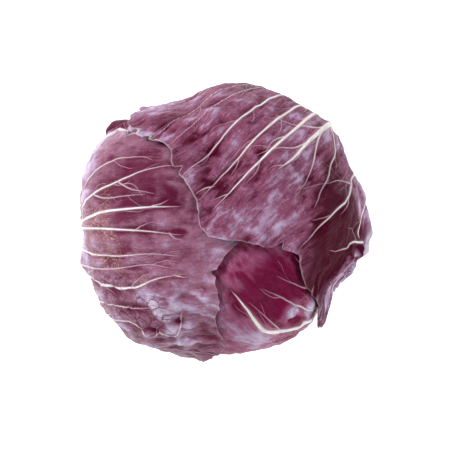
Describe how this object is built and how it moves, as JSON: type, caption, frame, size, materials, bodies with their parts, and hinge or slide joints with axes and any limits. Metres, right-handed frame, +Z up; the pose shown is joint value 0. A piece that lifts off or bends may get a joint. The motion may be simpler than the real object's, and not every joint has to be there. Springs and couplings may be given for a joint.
{
  "type": "radicchio head",
  "caption": "Round head of red radicchio with white-ribbed wrapper leaves lapped over a tight heart, trimmed flat at the stem.",
  "frame": {"origin": "centre of the stem's cut face, where the head stands", "axes": "+Z up the stem and out through the crown; +X across the head, along its widest side"},
  "size_m": [0.1215, 0.1175, 0.1017],
  "materials": {
    "stem_flesh": "cut white plant flesh, faintly browned at the cut",
    "heart_leaf": "tight young leaves, pale wine red",
    "wrapper_leaf": "waxy wine-red leaf with white ribs and veins",
    "inner_leaf": "waxy wine-red leaf with white ribs"
  },
  "bodies": {
    "root": {"stem": "stem_flesh", "heart": "heart_leaf", "wrapper_leaf_01": "wrapper_leaf", "wrapper_leaf_02": "wrapper_leaf", "wrapper_leaf_03": "wrapper_leaf", "wrapper_leaf_04": "wrapper_leaf", "wrapper_leaf_05": "wrapper_leaf", "wrapper_leaf_06": "wrapper_leaf", "inner_leaf_07": "inner_leaf", "inner_leaf_08": "inner_leaf", "inner_leaf_09": "inner_leaf", "inner_leaf_10": "inner_leaf", "inner_leaf_11": "inner_leaf", "inner_leaf_12": "inner_leaf"}
  },
  "joints": []
}
